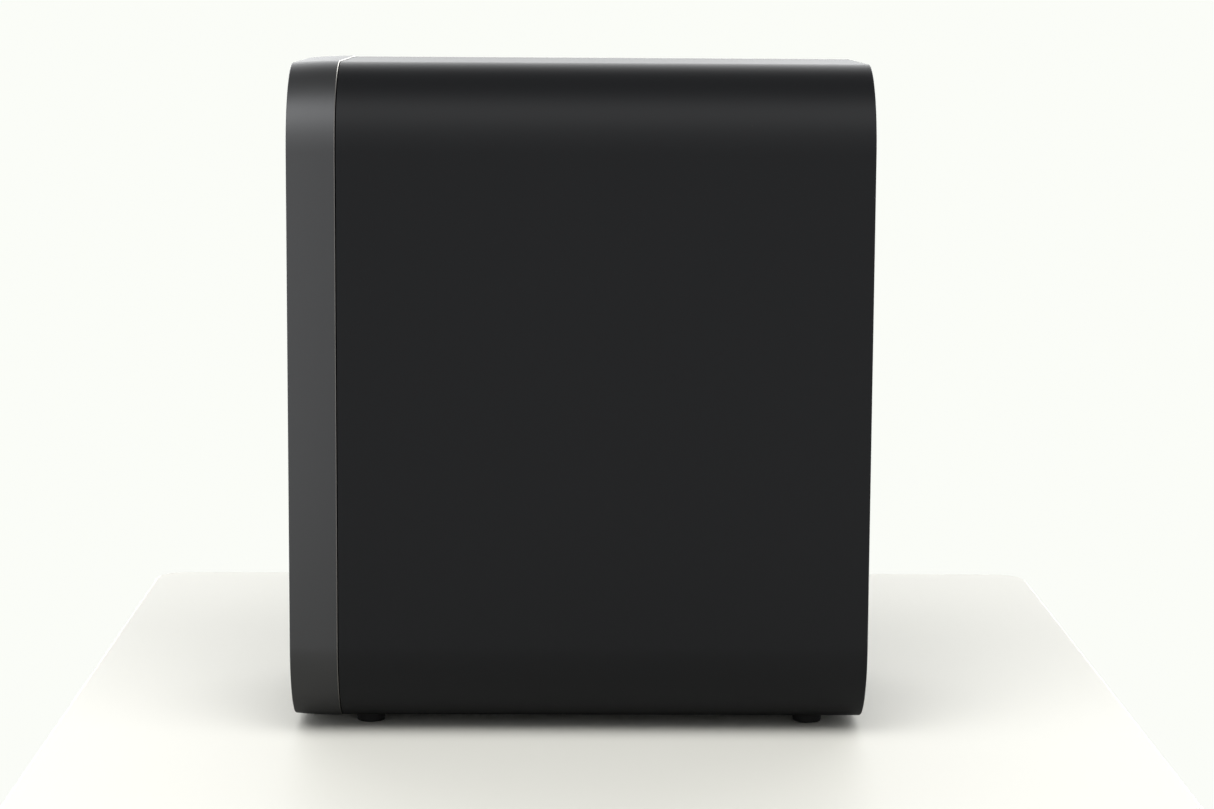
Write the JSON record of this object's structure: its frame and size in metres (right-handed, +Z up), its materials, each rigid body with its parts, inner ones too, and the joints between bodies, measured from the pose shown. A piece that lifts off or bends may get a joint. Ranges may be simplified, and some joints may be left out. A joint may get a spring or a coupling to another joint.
{
  "type": "soundbar subwoofer",
  "caption": "Compact ported subwoofer box with a cloth-fronted woofer, a rear reflex port, a built-in amplifier plate and small round feet.",
  "frame": {"origin": "on the floor under the middle of the box, level with the undersides of the feet", "axes": "+Z up, the front of the bezel faces -Y, X runs across the width"},
  "size_m": [0.205, 0.302, 0.353],
  "materials": {
    "cabinet_black": "fine matte texture",
    "bezel_charcoal": "satin charcoal paint with a bright bevelled rear edge",
    "cloth_black": "woven speaker cloth",
    "inner_black": "moulded, slightly textured",
    "board_brown": "raw fibreboard",
    "rubber_black": "matte rubber",
    "basket_black": "satin black enamel",
    "plate_black": "fine powder coat",
    "screw_black": "black zinc",
    "steel_zinc": "zinc plated",
    "ferrite": "ground ferrite",
    "copper_wire": "enamelled copper",
    "brass_pins": "plated brass",
    "paper_cone": "pressed pulp",
    "coil_former": "polyimide film",
    "spider_cloth": "resin-dipped cloth",
    "fibre_board": "pressed phenolic board",
    "felt_grey": "needled felt",
    "pcb_green": "solder mask",
    "chip_black": "moulded epoxy",
    "winding_tape": "yellow polyester tape over copper",
    "heat_metal": "extruded",
    "wire_red": "soft insulation",
    "wire_black": "soft insulation",
    "led_green": "clear tinted epoxy",
    "lens_clear": "frosted light pipe",
    "label_grey": "blank satin foil"
  },
  "bodies": {
    "root": {"cabinet_shell": "cabinet_black", "front_baffle": "board_brown", "rear_panel": "cabinet_black", "rear_panel_screws": "screw_black", "cabinet_brace": "board_brown", "damping_felt_left": "felt_grey", "damping_felt_right": "felt_grey", "front_bezel": "bezel_charcoal", "bezel_screws": "steel_zinc", "grille_frame": "inner_black", "grille_cloth": "cloth_black", "grille_grommets": "rubber_black", "woofer_gasket": "rubber_black", "woofer_basket": "basket_black", "woofer_screws": "screw_black", "surround": "rubber_black", "surround_trim": "rubber_black", "spider": "spider_cloth", "top_plate": "steel_zinc", "magnet": "ferrite", "yoke": "steel_zinc", "woofer_terminal": "fibre_board", "terminal_tabs": "brass_pins", "speaker_wire_red": "wire_red", "speaker_wire_black": "wire_black", "port_tube": "inner_black", "port_flare": "inner_black", "port_screws": "screw_black", "amp_gasket": "rubber_black", "amp_plate": "plate_black", "amp_screws": "screw_black", "ac_inlet": "inner_black", "inlet_pins": "brass_pins", "amp_pcb": "pcb_green", "pcb_standoffs": "steel_zinc", "transformer_core": "ferrite", "transformer_winding": "winding_tape", "filter_capacitors": "chip_black", "output_inductors": "copper_wire", "power_chips": "chip_black", "heat_spreader": "heat_metal", "wire_header": "inner_black", "pcb_screws": "steel_zinc", "radio_module": "steel_zinc", "antenna": "pcb_green", "control_pcb": "pcb_green", "tact_switch": "chip_black", "status_led": "led_green", "led_lens": "lens_clear", "rating_label": "label_grey", "foot_front_left": "rubber_black", "foot_front_right": "rubber_black", "foot_rear_left": "rubber_black", "foot_rear_right": "rubber_black"},
    "cone_assembly": {"cone": "paper_cone", "dust_cap": "paper_cone", "voice_coil_former": "coil_former", "voice_coil_winding": "copper_wire"},
    "pair_button": {"pairing_button": "inner_black", "switch_plunger": "inner_black"}
  },
  "joints": [
    {"name": "cone_travel", "type": "slide", "parent": "root", "child": "cone_assembly", "axis": [0, -1, 0], "range_m": [-0.005, 0.005], "stiffness_N_per_m": 1500, "deforming": ["surround", "spider"]},
    {"name": "button_press", "type": "slide", "parent": "root", "child": "pair_button", "axis": [0, -1, 0], "range_m": [0, 0.001], "stiffness_N_per_m": 400}
  ]
}
